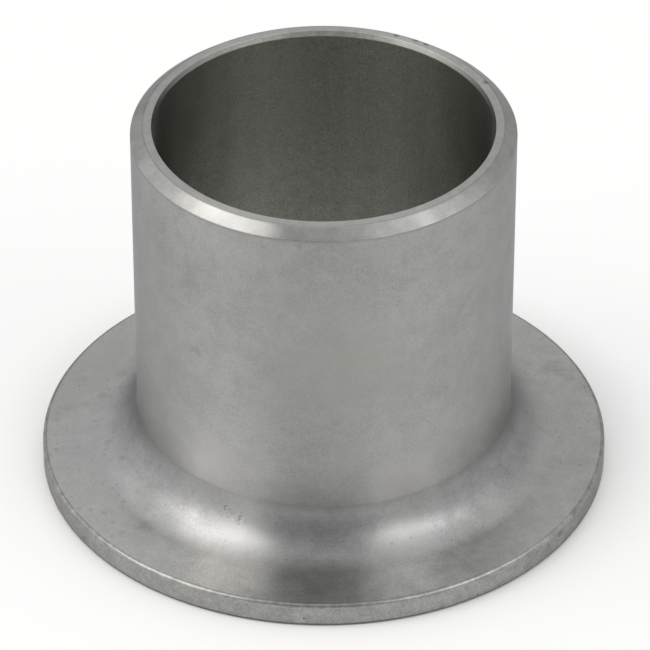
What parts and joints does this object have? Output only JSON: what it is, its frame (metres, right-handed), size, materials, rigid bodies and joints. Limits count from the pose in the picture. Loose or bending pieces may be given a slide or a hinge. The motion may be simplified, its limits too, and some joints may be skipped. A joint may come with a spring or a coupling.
{
  "type": "lap joint stub end",
  "caption": "Short round steel tube with a bevelled weld end, flared through a fillet into a flat round lap, which a loose backing flange clamps against its mate.",
  "frame": {"origin": "centre of the gasket face, the flat underside of the lap", "axes": "+Z along the bore from the gasket face to the weld end; X and Y are free, the part is round"},
  "size_m": [0.073, 0.073, 0.0508],
  "materials": {
    "stainless_steel": "satin, pickled tube with turned weld end, neck and lap"
  },
  "bodies": {
    "root": {"stub_end": "stainless_steel"}
  },
  "joints": []
}
